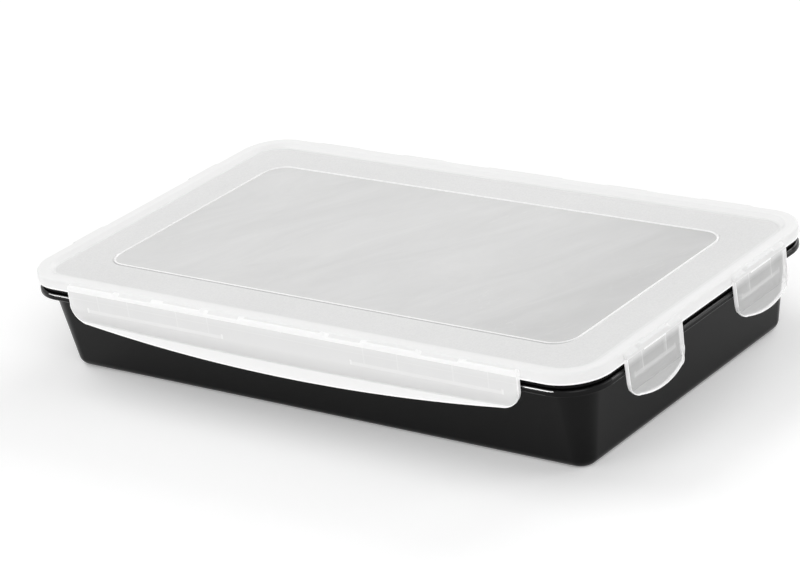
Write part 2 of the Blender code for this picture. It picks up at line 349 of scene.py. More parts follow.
def ramp(material, source, low, high, to_low, to_high, smooth_steps=False):
    """A number that goes from one value to another while its source goes from low to high."""
    made = add_node(material, "MapRange", {
        "Value": source, "From Min": low, "From Max": high, "To Min": to_low, "To Max": to_high,
    }, interpolation_type="SMOOTHSTEP" if smooth_steps else "LINEAR")
    return made.outputs["Result"]


def two_tones(material, source, low, dark, high, pale):
    """A colour that goes from dark to pale while its source goes from low to high."""
    made = add_node(material, "ValToRGB", {"Fac": source})
    for stop, at, tone in zip(made.color_ramp.elements, (low, high), (dark, pale)):
        stop.position = at
        stop.color = (*tone, 1.0)
    return made.outputs["Color"]


def noise(material, place, scale, detail, roughness=0.5, distortion=0.0):
    return add_node(material, "TexNoise", {
        "Vector": place, "Scale": scale, "Detail": detail, "Roughness": roughness, "Distortion": distortion,
    }).outputs["Fac"]


def add_bump(material, height, strength):
    bump = add_node(material, "Bump", {"Strength": strength, "Distance": BUMP_DEPTH, "Height": height})
    feed(material, "Normal", bump.outputs["Normal"])


def coated_steel(name, gloss, smoothest, roughest, highlight_metal=0.0):
    """A dark, slightly uneven non-stick coating with fine speckle, or, with highlight_metal, a bright metal
    strip that is a painted highlight.
    """
    made = new_material(name, {"Specular IOR Level": gloss, "Metallic": 1.0 if highlight_metal else 0.0})
    place = add_node(made, "TexCoord").outputs["Object"]
    dark = [highlight_metal + tone for tone in COATING_DARK]
    pale = [highlight_metal * HIGHLIGHT_VARIES + tone for tone in COATING_PALE]
    speckle = noise(made, place, scale=2600.0, detail=3.0)
    feed(made, "Base Color", two_tones(made, speckle, 0.35, dark, 0.75, pale))
    cloud = noise(made, place, scale=22.0, detail=4.0)
    feed(made, "Roughness", ramp(made, cloud, 0.3, 0.7, smoothest, roughest))
    add_bump(made, noise(made, place, scale=900.0, detail=2.0), 0.05)
    return made


top_inset = RIM_INSET + FLANGE_WIDTH
foot_inset = top_inset + WALL_DRAFT
under_z = flange_z - SHEET
lean = math.atan2(WALL_DRAFT, under_z - FLANGE_BEND)
lean_deg = math.degrees(lean)
into_tray = Vector((math.cos(lean), math.sin(lean)))


def wall_at(z):
    """The outer face of the wall, as inset and height."""
    return Vector((foot_inset - math.tan(lean) * z, z))


foot_centre = wall_at(FOOT_RADIUS * (1 - into_tray.y)) + into_tray * FOOT_RADIUS
bend_centre = wall_at(under_z - FLANGE_BEND + FLANGE_BEND * into_tray.y) - into_tray * FLANGE_BEND
roll_in = RIM_INSET + ROLL_DEPTH - ROLL_FOOT
roll_low = flange_z - ROLL_HEIGHT + ROLL_FOOT
tray_chain = [(foot_centre.x + FOOT_MARGIN, SHEET)]
tray_chain += arc(foot_centre, FOOT_RADIUS - SHEET, -90, -180 + lean_deg, 10)
tray_chain += arc(bend_centre, FLANGE_BEND + SHEET, lean_deg, 90, 8)
tray_chain += arc((RIM_INSET + ROLL_TOP, flange_z - ROLL_TOP), ROLL_TOP, 90, 180, 10)
tray_chain += arc((RIM_INSET + ROLL_FOOT, roll_low), ROLL_FOOT, 180, 270, 6)
tray_chain += arc((roll_in, roll_low), ROLL_FOOT, 270, 360, 6)
tray_chain += [(roll_in + ROLL_FOOT, under_z - ROLL_GAP), (roll_in + ROLL_FOOT + ROLL_GAP, under_z)]
tray_chain += arc(bend_centre, FLANGE_BEND, 90, lean_deg, 6)
tray_chain += arc(foot_centre, FOOT_RADIUS, -180 + lean_deg, -90, 12)
tray_chain += [(foot_centre.x + FOOT_MARGIN, 0.0)]
coating = coated_steel("non_stick_coating", gloss=0.17, smoothest=0.22, roughest=0.28)
worn_coating = coated_steel("worn_coating", gloss=0.55, smoothest=0.12, roughest=0.15)
highlight_strip = coated_steel("highlight_strip", gloss=0.5, smoothest=0.2, roughest=0.3, highlight_metal=0.65)
tray = swept("coated_tray", tray_chain, coating)
close_flats(tray.data)
tray.data.materials.append(worn_coating)
tray.data.materials.append(highlight_strip)
for face in tray.data.polygons:
    below = flange_z - face.center.z
    outward = max(abs(face.center.x) - half_x, abs(face.center.y) - half_y) > -RIM_INSET - EDGE_REACH
    top_turn = LEAST_TURN < below < ROLL_TOP
    low_turn = flange_z - roll_low < below < ROLL_HEIGHT and face.normal.z > FACING_DOWN
    level = math.sqrt(1 - face.normal.z ** 2)
    along_x = abs(face.normal.y) / max(level, TINY)
    along_y = abs(face.normal.x) / max(level, TINY)
    # Index 2 is a painted highlight: bright metal on the bead's front and back straights.
    if outward and HIGHLIGHT_LOW < below < HIGHLIGHT_HIGH and along_x > NEARLY_STRAIGHT:
        face.material_index = 2
    elif outward and (top_turn or low_turn) and max(along_x, along_y) > STRAIGHT:
        face.material_index = 1
smooth(tray.data)
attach(tray, "tray")
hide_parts("tray")


# The lid
# One moulding in natural polypropylene: a domed border with a skirt, a sunken panel with a fine ridge
# round its polished middle and, underneath, the seal's groove and the plug wall that enters the tray. Its
# plastic carries painted light: a paler border on the left and back, painted shade on the near slopes
# and in the ridge's groove along the front, and a painted glow along the skirt's lip.
RIM_GAP = 0.0037
BORDER_HEIGHT = 0.0066
BORDER_WIDTH = 0.0106
BORDER_SLOPE = 0.0036
SHOULDER_RADIUS = 0.0015
CROWN_RISE = 0.00015
PANEL_DROP = 0.0027
LID_WALL = 0.0016
RIDGE_MARGIN = 0.0252
RIDGE_CORNER = 0.0131
RIDGE_WIDTH = 0.0013
RIDGE_HEIGHT = 0.0006
RIDGE_GROOVE = 0.0003
RIDGE_SHADE = 0.00045
RIDGE_FOOT = 0.0004
RIDGE_OUTSIDE = 0.0045
RIDGE_INSIDE = 0.0028
RIDGE_GROOVE_NEAR = 0.0001
RIDGE_GROOVE_FAR = 0.0006
RIDGE_GROOVE_TOP = 0.0007
GROOVE_WIDTH = 0.0059
GROOVE_RIB = 0.0012
GROOVE_DEPTH = 0.0041
GROOVE_RIB_FOOT = 0.0014
PLUG_INSET = 0.0103
PLUG_WALL = 0.0014
PLUG_DEPTH = 0.0029
PLUG_FOOT = 0.0008
EDGE_BREAK = 0.0003
LIP_BREAK = 0.0002
UNDER_MARGIN = 0.0020
BAND_START = 0.0016
SKIRT_LIP = 0.0003
LIP_WHITE = 0.0009
LIP_PROUD = 0.0002
BORDER_FOLD = BORDER_WIDTH + 0.0020
FOLD_ENDS = (0.0030, 0.0022, 0.0018)
# The near steps paint shade on the fold at the front and right; the far steps paint the left and back paler.
NEAR_SHADE_STEPS = ((0.0006, 0.985), (0.0034, 0.985), (0.0048, 0.955), (0.0058, 0.94), (0.0072, 0.86),
              (0.0082, 0.89), (0.0104, 0.92), (0.0116, 0.83))
FAR_LIT_STEPS = ((0.0006, 0.975), (0.0050, 0.975), (0.0070, 1.0), (0.0096, 1.0), (0.0105, 0.82),
             (0.0112, 0.75), (0.0120, 0.78))
FAR_START = 0.002
FAR_FULL = 0.012
BORDER_RIM_SEE = 0.95
BORDER_FOOT_SEE = 0.80
BAND_SEE = (0.87, 0.90)
GROOVE_SHADE_SEE = (0.87, 0.72)
PANEL_SEE = (0.675, 0.745)
LIGHT_STOPPED = 0.45
EDGE_LIGHT = 0.13
FLOW_TURN = math.radians(62.0)
PLASTIC_IOR = 1.49
PLASTIC_CLOUD = 0.985
PLASTIC_TONE = (0.86, 0.86, 0.857)
FLAT = 0.999
HAIR = 0.0001
skirt_z = flange_z + RIM_GAP
crest_z = skirt_z + BORDER_HEIGHT
panel_z = crest_z - PANEL_DROP
ridge_x = half_x - BORDER_WIDTH - RIDGE_MARGIN
ridge_y = half_y - BORDER_WIDTH - RIDGE_MARGIN


def spline(points, steps):
    """A smooth curve through points, as a Catmull-Rom chain."""
    padded = [points[0]] + list(points) + [points[-1]]
    out = []
    for k in range(1, len(padded) - 2):
        a, b, c, d = (Vector(p) for p in padded[k - 1:k + 3])
        for step in range(steps):
            t = step / steps
            out.append(tuple(0.5 * ((2 * b) + (c - a) * t + (2 * a - 5 * b + 4 * c - d) * t * t
                                    + (3 * b - a - 3 * c + d) * t ** 3)))
    out.append(tuple(points[-1]))
    return out


def plastic(name, base, roughness, see, grain=0.03, grain_scale=1500.0, fleck=0.0, gloss=0.35):
    """Natural polypropylene: pale, a little uneven, and clear enough to show dark things behind it.

    It scatters, so light passes more easily than sight does. see is a function that gives the alpha socket
    or number from the material and its place socket."""
    made = new_material(name, {"IOR": PLASTIC_IOR, "Specular IOR Level": gloss})
    place = add_node(made, "TexCoord").outputs["Object"]
    cloud = noise(made, place, scale=18.0, detail=5.0, roughness=0.6)
    tone = two_tones(made, cloud, 0.3, [level * PLASTIC_CLOUD for level in base], 0.7, base)
    feed(made, "Roughness", ramp(made, cloud, 0.3, 0.7, roughness - 0.03, roughness + 0.03))
    fine = noise(made, place, grain_scale, detail=2.0)
    if fleck:
        speck = ramp(made, fine, 0.3, 0.7, 1.0 - fleck, 1.0 + fleck)
        tone = add_node(made, "VectorMath", {0: tone, "Scale": speck}, operation="SCALE").outputs["Vector"]
    feed(made, "Base Color", tone)
    add_bump(made, fine, grain)
    shadow = add_node(made, "LightPath").outputs["Is Shadow Ray"]
    stopped = ramp(made, shadow, 0.0, 1.0, 1.0, LIGHT_STOPPED)
    feed(made, "Alpha", maths(made, "MULTIPLY", see(made, place), stopped))
    return made


def paint_glow(material, strength):
    """A painted glow: emission that makes thick plastic and cut edges look whiter, standing in for light
    that entered elsewhere and leaves there.
    """
    feed(material, "Emission Color", grey(1.0))
    feed(material, "Emission Strength", strength)


def reading(material, attribute):
    return add_node(material, "Attribute", attribute_name=attribute).outputs["Fac"]


def border_see(material, place):
    """Nearly solid on the crown, and clearer in steps where the border folds down to the panel, which is
    partly the plastic's own clearness and partly painted shade on the slopes.

    Along the left and the back the whole fold is paler, which is painted light, down to a dark line at its
    foot, which is painted shade."""
    share = ramp(material, reading(material, "inset"), 0.0, BORDER_FOLD, 0.0, 1.0)
    sides = []
    for values in (NEAR_SHADE_STEPS, FAR_LIT_STEPS):
        steps = add_node(material, "ValToRGB", {"Fac": share})
        stops = steps.color_ramp.elements
        stops[0].color = grey(BORDER_RIM_SEE)
        stops[1].color = grey(BORDER_FOOT_SEE)
        for at, level in values:
            stops.new(at / BORDER_FOLD).color = grey(level)
        sides.append(steps.outputs["Color"])
    axes = add_node(material, "SeparateXYZ", {0: place}).outputs
    left = maths(material, "SUBTRACT", OUTLINE_RADIUS - half_x, axes["X"])
    back = maths(material, "SUBTRACT", axes["Y"], half_y - OUTLINE_RADIUS)
    far = ramp(material, maths(material, "MAXIMUM", left, back), FAR_START, FAR_FULL, 0.0, 1.0, True)
    return mix_colours(material, far, *sides)


def band_see(material, place):
    return ramp(material, noise(material, place, scale=9.0, detail=3.0), 0.35, 0.65, *BAND_SEE)


def front_groove_shade(material, place):
    """Painted shade along the front of the ridge: one along the front, falling to nothing round its front
    corners.
    """
    ahead = maths(material, "MULTIPLY", add_node(material, "SeparateXYZ", {0: place}).outputs["Y"], -1.0)
    return ramp(material, ahead, ridge_y - RIDGE_CORNER * 0.6, ridge_y - RIDGE_CORNER * 0.05, 0.0, 1.0)


def groove_shade_see(material, place):
    return ramp(material, front_groove_shade(material, place), 0.0, 1.0, *GROOVE_SHADE_SEE)


def panel_see(material, place):
    """Feathery flow marks in the polished middle, and fine pale veins where the plastic met as it set."""
    turned = add_node(material, "Mapping", {"Vector": place, "Rotation": (0.0, 0.0, -FLOW_TURN)}).outputs[0]
    flow = add_node(material, "Mapping", {"Vector": turned, "Scale": (1.0, 3.0, 1.0)}).outputs[0]
    marks = noise(material, flow, scale=11.0, detail=8.0, roughness=0.62, distortion=0.7)
    clouds = ramp(material, marks, 0.33, 0.67, *PANEL_SEE)
    # Clearer, so darker, towards +X.
    across = add_node(material, "SeparateXYZ", {0: place}).outputs["X"]
    darker_towards_x = ramp(material, across, 0.03, 0.16, 0.0, 0.13, True)
    clouds = maths(material, "SUBTRACT", clouds, darker_towards_x)
    paths = noise(material, flow, scale=17.0, detail=2.5, distortion=1.6)
    off = maths(material, "ABSOLUTE", maths(material, "SUBTRACT", paths, 0.5))
    veins = ramp(material, off, 0.0, 0.010, 0.035, 0.0, True)
    patches = noise(material, place, scale=11.0, detail=1.0)
    shown = ramp(material, patches, 0.50, 0.62, 0.0, 1.0, True)
    return maths(material, "ADD", clouds, maths(material, "MULTIPLY", veins, shown))


def solid_see(material, place):
    return 1.0


border_plastic = plastic("border_plastic", (0.95, 0.95, 0.947), 0.46, border_see, gloss=0.15)
band_plastic = plastic("band_plastic", PLASTIC_TONE, 0.45, band_see, grain=0.16, grain_scale=1100.0,
                       fleck=0.035, gloss=0.15)
panel_plastic = plastic("panel_plastic", PLASTIC_TONE, 0.34, panel_see, grain=0.01, gloss=0.15)
glowing_edge_plastic = plastic("glowing_edge_plastic", (0.99, 0.99, 0.988), 0.30, solid_see, gloss=1.0)
paint_glow(glowing_edge_plastic, EDGE_LIGHT)
# The groove's plastic is darker and clearer only along the front: painted shade.
shaded_groove_plastic = plastic("shaded_groove_plastic", (0.68, 0.68, 0.678), 0.45, groove_shade_see)
groove_place = add_node(shaded_groove_plastic, "TexCoord").outputs["Object"]
groove_shade = front_groove_shade(shaded_groove_plastic, groove_place)
groove_tone = shader_of(shaded_groove_plastic).inputs["Base Color"].links[0].from_socket
groove_tone = mix_colours(shaded_groove_plastic, groove_shade, (*PLASTIC_TONE, 1.0), groove_tone)
feed(shaded_groove_plastic, "Base Color", groove_tone)
ridge_plastic = plastic("ridge_plastic", (0.97, 0.97, 0.968), 0.35, solid_see, gloss=0.6)

crown_in = BORDER_WIDTH - BORDER_SLOPE
edge_z = crest_z - CROWN_RISE
shoulder = arc((SHOULDER_RADIUS, edge_z - SHOULDER_RADIUS), SHOULDER_RADIUS, 90, 180, 8)
crown = [(BORDER_WIDTH + reach, panel_z) for reach in FOLD_ENDS]
crown += spline([(BORDER_WIDTH + 0.0015, panel_z), (BORDER_WIDTH + 0.0003, panel_z),
                 (BORDER_WIDTH - 0.0006, panel_z + 0.0003),
                 (crown_in + 0.0010, edge_z - 0.0007), (crown_in, edge_z - 0.0001),
                 ((crown_in + SHOULDER_RADIUS) / 2, crest_z), (SHOULDER_RADIUS, edge_z)], 6)
roof = crest_z - LID_WALL
groove_end = LID_WALL + GROOVE_WIDTH
rib_end = groove_end + GROOVE_RIB
plug_in = PLUG_INSET + PLUG_WALL
plug_z = flange_z - PLUG_DEPTH
under_panel = panel_z - LID_WALL
lip_z = skirt_z - SKIRT_LIP
lid_chain = crown[:-1] + shoulder
lid_chain += [(0.0, lip_z + LIP_WHITE), (-LIP_PROUD * 0.6, lip_z + LIP_WHITE * 0.85)]
lid_chain += [(-LIP_PROUD, lip_z + LIP_WHITE * 0.6), (-LIP_PROUD, lip_z + EDGE_BREAK), (HAIR, lip_z)]
lid_chain += [(LID_WALL - LIP_BREAK, lip_z), (LID_WALL, lip_z + LIP_BREAK)]
lid_chain += [(LID_WALL, roof), (groove_end, roof)]
lid_chain += [(groove_end, roof - GROOVE_DEPTH), (rib_end, roof - GROOVE_DEPTH)]
lid_chain += [(rib_end, under_panel + GROOVE_RIB_FOOT), (PLUG_INSET, under_panel + PLUG_FOOT)]
lid_chain += [(PLUG_INSET, plug_z + EDGE_BREAK), (PLUG_INSET + EDGE_BREAK, plug_z)]
lid_chain += [(plug_in - EDGE_BREAK, plug_z), (plug_in, plug_z + EDGE_BREAK)]
lid_chain += [(plug_in, under_panel), (plug_in + UNDER_MARGIN, under_panel)]
lid = swept("lid_moulding", lid_chain, border_plastic)

ridge_half = RIDGE_WIDTH / 2
groove_z = panel_z - RIDGE_GROOVE
ridge_chain = [(RIDGE_OUTSIDE, panel_z), (ridge_half + RIDGE_FOOT, panel_z)]
for k in range(9):
    across = 1 - k / 4
    rise = RIDGE_HEIGHT * math.cos(across * math.pi / 2) ** 1.2
    ridge_chain.append((across * ridge_half, panel_z + rise))
ridge_chain += [(-ridge_half - RIDGE_GROOVE_NEAR, groove_z), (-ridge_half - RIDGE_GROOVE_FAR, groove_z)]
ridge_chain += [(-ridge_half - RIDGE_GROOVE_TOP, panel_z), (-RIDGE_INSIDE, panel_z)]
ridge = swept("ridge", ridge_chain, panel_plastic, 2 * ridge_x, 2 * ridge_y, RIDGE_CORNER)


def join_lid(shell, middle, shell_count, middle_count):
    """Bridges the border's foot to the ridge, and fills the flat middles above and below.

    A sweep's points come station by station, with the section's points in order at each."""
    bm = bmesh.new()
    bm.from_mesh(shell.data)
    bm.from_mesh(middle.data)
    bm.verts.ensure_lookup_table()
    stations = len(shell.data.vertices) // shell_count
    offset = len(shell.data.vertices)
    foot = [bm.verts[k * shell_count] for k in range(stations)]
    under = [bm.verts[k * shell_count + shell_count - 1] for k in range(stations)]
    inside = [bm.verts[offset + k * middle_count] for k in range(stations)]
    outside = [bm.verts[offset + k * middle_count + middle_count - 1] for k in range(stations)]
    for k in range(stations):
        after = (k + 1) % stations
        bm.faces.new((foot[k], foot[after], outside[after], outside[k]))
    bm.faces.new(inside)
    bm.faces.new(under)
    bmesh.ops.remove_doubles(bm, verts=bm.verts, dist=TINY)
    store(bm, shell.data)
    bpy.data.objects.remove(middle)


join_lid(lid, ridge, len(lid_chain), len(ridge_chain))


def inset_at(x, y, half_length, half_width, radius):
    """How far inside a rounded rectangle a point lies."""
    past_x = abs(x) - half_length + radius
    past_y = abs(y) - half_width + radius
    outside = math.hypot(max(past_x, 0.0), max(past_y, 0.0))
    return radius - outside - min(max(past_x, past_y), 0.0)


lid_inset = lid.data.attributes.new("inset", "FLOAT", "POINT")
for vert in lid.data.vertices:
    lid_inset.data[vert.index].value = inset_at(vert.co.x, vert.co.y, half_x, half_y, OUTLINE_RADIUS)
lid.data.materials.clear()
for finish in (border_plastic, band_plastic, panel_plastic, glowing_edge_plastic, shaded_groove_plastic, ridge_plastic):
    lid.data.materials.append(finish)
for face in lid.data.polygons:
    middle = face.center
    inside = inset_at(middle.x, middle.y, half_x, half_y, OUTLINE_RADIUS)
    past_ridge = inset_at(middle.x, middle.y, ridge_x, ridge_y, RIDGE_CORNER)
    top = middle.z > panel_z - LID_WALL / 2
    flat = abs(face.normal.z) > FLAT and middle.z < panel_z + HAIR
    at_front = -middle.y > ridge_y - RIDGE_CORNER
    face.material_index = 0
    if top and inside > BORDER_WIDTH + BAND_START and past_ridge < -ridge_half:
        in_groove = not flat or middle.z < panel_z - HAIR
        # Index 4 paints shade in the groove and on the ridge's outer flank, only along the front.
        face.material_index = 4 if in_groove and at_front else 1
    elif top and abs(past_ridge) <= ridge_half and not flat:
        face.material_index = 4 if past_ridge < -RIDGE_SHADE and at_front else 5
    elif top and past_ridge > 0:
        face.material_index = 2
    elif not top and flat and middle.z > under_panel - HAIR:
        face.material_index = 2
    # Index 3, the white line along the skirt's lip, has a painted glow.
    elif inside < LID_WALL and middle.z < lip_z + LIP_WHITE:
        face.material_index = 3
smooth(lid.data, 45.0)
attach(lid, "lid")
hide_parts("lid")


# The seal
# A soft ring in dark silicone, pressed into the groove under the lid's border, above the tray's
# flange, to make the lid tight.
SEAL_GAP = 0.0003
SEAL_NOSE = 0.0012
SILICONE_DARK = (0.0020, 0.0020, 0.0021)
SILICONE_PALE = (0.0040, 0.0040, 0.0042)
seal_out = LID_WALL + SEAL_GAP
seal_in = groove_end - SEAL_GAP
seal_top = roof - SEAL_GAP
seal_bottom = flange_z + SEAL_GAP


def silicone():
    """Matt dark silicone with a dusty unevenness."""
    made = new_material("dark_silicone", {"Specular IOR Level": 0.12})
    dust = noise(made, add_node(made, "TexCoord").outputs["Object"], scale=160.0, detail=4.0)
    feed(made, "Base Color", two_tones(made, dust, 0.0, SILICONE_DARK, 1.0, SILICONE_PALE))
    feed(made, "Roughness", ramp(made, dust, 0.2, 0.8, 0.5, 0.65))
    return made


seal_chain = [(seal_out, seal_top - EDGE_BREAK), (seal_out + EDGE_BREAK, seal_top)]
seal_chain += [(seal_in - EDGE_BREAK, seal_top), (seal_in, seal_top - EDGE_BREAK)]
seal_chain += arc((seal_in - SEAL_NOSE, seal_bottom + SEAL_NOSE), SEAL_NOSE, 0, -90, 5)
seal_chain += arc((seal_out + SEAL_NOSE, seal_bottom + SEAL_NOSE), SEAL_NOSE, -90, -180, 5)
seal = swept("silicone_seal", list(reversed(seal_chain)), silicone(), closed=True)
close_flats(seal.data)
smooth(seal.data)
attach(seal, "lid")
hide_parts("seal_ring")


# The hinge lands
# Low ledges that stand out of the skirt above each flap, with raised pads along them. Their outer faces
# are flush with the flaps, and their outer top corners are round.
FLAP_PROUD = 0.0024
HINGE_DROP = 0.0046
HINGE_GAP = 0.0001
PAD_HEIGHT = 0.0034
LEDGE_HEIGHT = 0.0020
PAD_SLOPE = 0.0036
LAND_EDGE = 0.0007
LAND_ROOT = 0.0012
LAND_CORNER = 0.0020
LAND_END = 0.0003
LAND_LEAST = 0.0004
LAND_SLOPE = 0.75
LONG_FLAP = 0.3170
LONG_PAD = 0.0371
LONG_PAD_GAP = 0.0276
SHORT_FLAP = 0.0525
SHORT_PAD = 0.0278
SHORT_FLAP_PITCH = 0.1052
hinge_z = crest_z - HINGE_DROP
long_half = LONG_FLAP / 2
short_half = SHORT_FLAP / 2
short_place = SHORT_FLAP_PITCH / 2


def at_flap(turn, along, out):
    """From a flap's own place, with its outer face on y = 0 and its hinge on z = 0, to the part's frame."""
    shift = Matrix.Translation((along, -(out + FLAP_PROUD), hinge_z))
    return Matrix.Rotation(math.radians(turn), 4, "Z") @ shift


FLAPS = {
    "front_flap": (at_flap(0, 0.0, half_y), True),
    "rear_flap": (at_flap(180, 0.0, half_y), True),
    "right_front_flap": (at_flap(90, -short_place, half_x), False),
    "right_rear_flap": (at_flap(90, short_place, half_x), False),
    "left_rear_flap": (at_flap(270, -short_place, half_x), False),
    "left_front_flap": (at_flap(270, short_place, half_x), False),
}


def pad_edges(long_side):
    """Where the pads begin and end along a flap."""
    if not long_side:
        return [(-SHORT_PAD / 2, SHORT_PAD / 2)]
    end = long_half - LONG_PAD
    second = end - LONG_PAD_GAP
    third = second - LONG_PAD
    middle = third - LONG_PAD_GAP
    return [(-long_half, -end), (-second, -third), (-middle, middle), (third, second), (end, long_half)]


def soften(piece, width, steps, angle=35.0):
    """Rounds a piece's edges and keeps the result."""
    edge = piece.modifiers.new("edge", "BEVEL")
    edge.width = width
    edge.segments = steps
    edge.limit_method = "ANGLE"
    edge.angle_limit = math.radians(angle)
    edge.harden_normals = False
    keep_result(piece, edge)


def land_height(x, half, pads):
    """The height of a land's outer edge above the hinge, with sloping ends to the pads and round corners."""
    raised = 0.0
    for start, end in pads:
        inside = min(x - start, end - x)
        at_corner = (start <= -half + TINY and x < 0) or (end >= half - TINY and x > 0)
        share = 1.0 if at_corner and inside > -TINY else (inside + PAD_SLOPE / 2) / PAD_SLOPE
        if at_corner:
            share = min(1.0, ((end - x) if x < 0 else (x - start)) / PAD_SLOPE + 0.5)
        raised = max(raised, min(1.0, share))
    top = LEDGE_HEIGHT + (PAD_HEIGHT - LEDGE_HEIGHT) * (raised * raised * (3 - 2 * raised))
    from_end = half - abs(x)
    if from_end < LAND_CORNER:
        top -= LAND_CORNER - math.sqrt(max(0.0, LAND_CORNER ** 2 - (LAND_CORNER - from_end) ** 2))
    return top


def build_land(name, place, long_side):
    """Sections along the land, each a flat outer face, a round edge and a top that slopes to the skirt."""
    half = long_half if long_side else short_half
    pads = pad_edges(long_side)
    places = {half * k / 24 for k in range(25)}
    for size in (LAND_CORNER, LAND_END):
        places |= {half - size * (1 - math.cos(math.pi / 16 * k)) for k in range(9)}
    for edge in {abs(x) for pad in pads for x in pad}:
        places |= {min(half, edge + PAD_SLOPE * (k / 8 - 0.5)) for k in range(9)}
    ordered = sorted(places)
    stations = [-x for x in reversed(ordered) if x > TINY] + ordered
    deep = FLAP_PROUD + LAND_ROOT
    bm = bmesh.new()
    rows = []
    for x in stations:
        top = HINGE_GAP + max(LAND_LEAST, land_height(x, half, pads))
        bend = min(LAND_EDGE, top - HINGE_GAP - HAIR)
        lift = HAIR + (PAD_HEIGHT + HINGE_GAP - top) * LAND_SLOPE
        short_of = max(0.0, LAND_END - (half - abs(x)))
        back = LAND_END - math.sqrt(LAND_END ** 2 - short_of ** 2)
        section = [(deep, HINGE_GAP), (back, HINGE_GAP)]
        section += [(back + bend - bend * math.cos(t), top - bend + bend * math.sin(t))
                    for t in (math.pi / 2 * k / 5 for k in range(6))]
        section += [(FLAP_PROUD, top + lift), (deep, top + lift)]
        rows.append([bm.verts.new((x, y, z)) for y, z in section])
    for left, right in zip(rows[:-1], rows[1:]):
        at = left[0].co.x
        sloping = any(abs(at - x) < PAD_SLOPE / 2 for pad in pads for x in pad)
        for k in range(len(left)):
            after = (k + 1) % len(left)
            face = bm.faces.new((left[k], right[k], right[after], left[after]))
            # Tops take the darker plastic, painted shade, except on the slopes at the pads' ends.
            face.material_index = 1 if 6 <= k < len(left) - 1 and not (sloping and k < 8) else 0
    bm.faces.new(rows[0])
    bm.faces.new(list(reversed(rows[-1])))
    mesh = store(bm, bpy.data.meshes.new(name))
    mesh.materials.append(glowing_land_plastic if long_side else shaded_short_land_plastic)
    mesh.materials.append(shaded_land_top_plastic)
    mesh.transform(place)
    smooth(mesh, 24.0)
    piece = new_piece(name, mesh)
    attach(piece, "lid")


# The lands' faces have a painted glow; the short lands and all land tops are darker plastic, painted shade.
glowing_land_plastic = plastic("glowing_land_plastic", (0.99, 0.99, 0.988), 0.40, solid_see, gloss=0.2)
paint_glow(glowing_land_plastic, EDGE_LIGHT * 0.4)
shaded_short_land_plastic = plastic("shaded_short_land_plastic", (0.87, 0.87, 0.867), 0.40, solid_see)
shaded_land_top_plastic = plastic("shaded_land_top_plastic", (0.92, 0.92, 0.917), 0.50, solid_see, gloss=0.15)
for name, (place, long_side) in FLAPS.items():
    build_land(name.replace("_flap", "_hinge_land"), place, long_side)


# The flaps
# Thin clips that hang from the lands. Each has deeper ends, round lower corners, and a lip that flares
# out below a fold, where a finger lifts it. The sheet is paler where the bars and ribs behind it join it.
# Its tone also carries painted light: whiter near the hinge, painted shade above the fold and in it,
# painted highlights where the tray's edge shows through and along the short clips' film hinge, and a
# painted glow along its edges.
FLAP_SHEET = 0.0013
FLAP_END_DEPTH = 0.0021
FLAP_END_WIDTH = 0.0016
FLAP_TAPER = 0.0008
LIP_FLARE = 0.435
LIP_LEAST = 0.0004
FOLD_ROUND = 0.0007
EDGE_WHITE = 0.0003
EDGE_FADE = 0.0004
MARK_FADE = 0.00018
GLINT_HALF = 0.0007
CREASE_SHADE_HALF = 0.012
CREASE_SHADE_FADE = 0.010
CLIP_ROUND = 0.00030
END_STEP = 0.00012
STATION_GAP = 0.0002
STATION_PITCH = 0.0060
TOP_LEVEL = 0.0008
OVER_FOLD = 0.0012
LIP_LEVELS = (0.0010, 0.0004)
LEVEL_SPARE = 0.00004
LONG_SHAPE = {"half": long_half, "drop": 0.0263, "sag": 0.0072, "fold": 0.0197, "fold_sag": 0.0024,
              "corner_w": 0.0120, "corner_h": 0.0103}
SHORT_SHAPE = {"half": short_half, "drop": 0.0252, "sag": 0.0030, "fold": 0.0183, "fold_sag": 0.0,
               "corner_w": 0.0060, "corner_h": 0.0080}
BAR_HEIGHT = 0.0020
BAR_BELOW_BEAD = 0.0009
HOOK_WIDTH = 0.0014
HOOK_RISE = 0.0009
RIB_WIDTH = 0.0008
TRAY_GLINT_DOWN = 0.0041
TRAY_GLINT_HALF = 0.0002
TRAY_GLINT_SHARE = 0.04
LONG_BAR = 0.1022
LONG_BAR_PITCH = 0.1920
LONG_RIBS = (-0.0410, -0.0180, 0.0187, 0.0417)
SHORT_BAR = 0.0396
SHORT_RIBS = (-0.0112, 0.0112)
bar_top = flange_z - 2 * BEAD_RADIUS - BAR_BELOW_BEAD - hinge_z
bar_depth = BAR_HEIGHT / 2 - bar_top


def lower_edge(shape, x):
    """How far below the hinge a flap ends, at a place along it."""
    knee = shape["half"] - shape["corner_w"]
    reach = abs(x)
    if reach <= knee:
        return shape["drop"] - shape["sag"] * (reach / knee) ** 2
    part = min(1.0, (reach - knee) / shape["corner_w"])
    return shape["drop"] - shape["sag"] - shape["corner_h"] * (1 - math.sqrt(1 - part * part))


def flap_stations(shape):
    """Places along a flap, close together round its lower corners and at its deep ends."""
    half = shape["half"]
    corner = shape["corner_w"]
    step = half - FLAP_END_WIDTH
    places = {0.0, half, step, step - END_STEP}
    for k in range(1, 28):
        x = half - corner * (1 - math.sin(math.pi / 2 * k / 28))
        if abs(x - step) > STATION_GAP:
            places.add(x)
    count = max(8, round((half - corner) / STATION_PITCH))
    places |= {(half - corner) * k / count for k in range(1, count + 1)}
    ordered = sorted(places)
    return [-x for x in reversed(ordered) if x > 0] + ordered


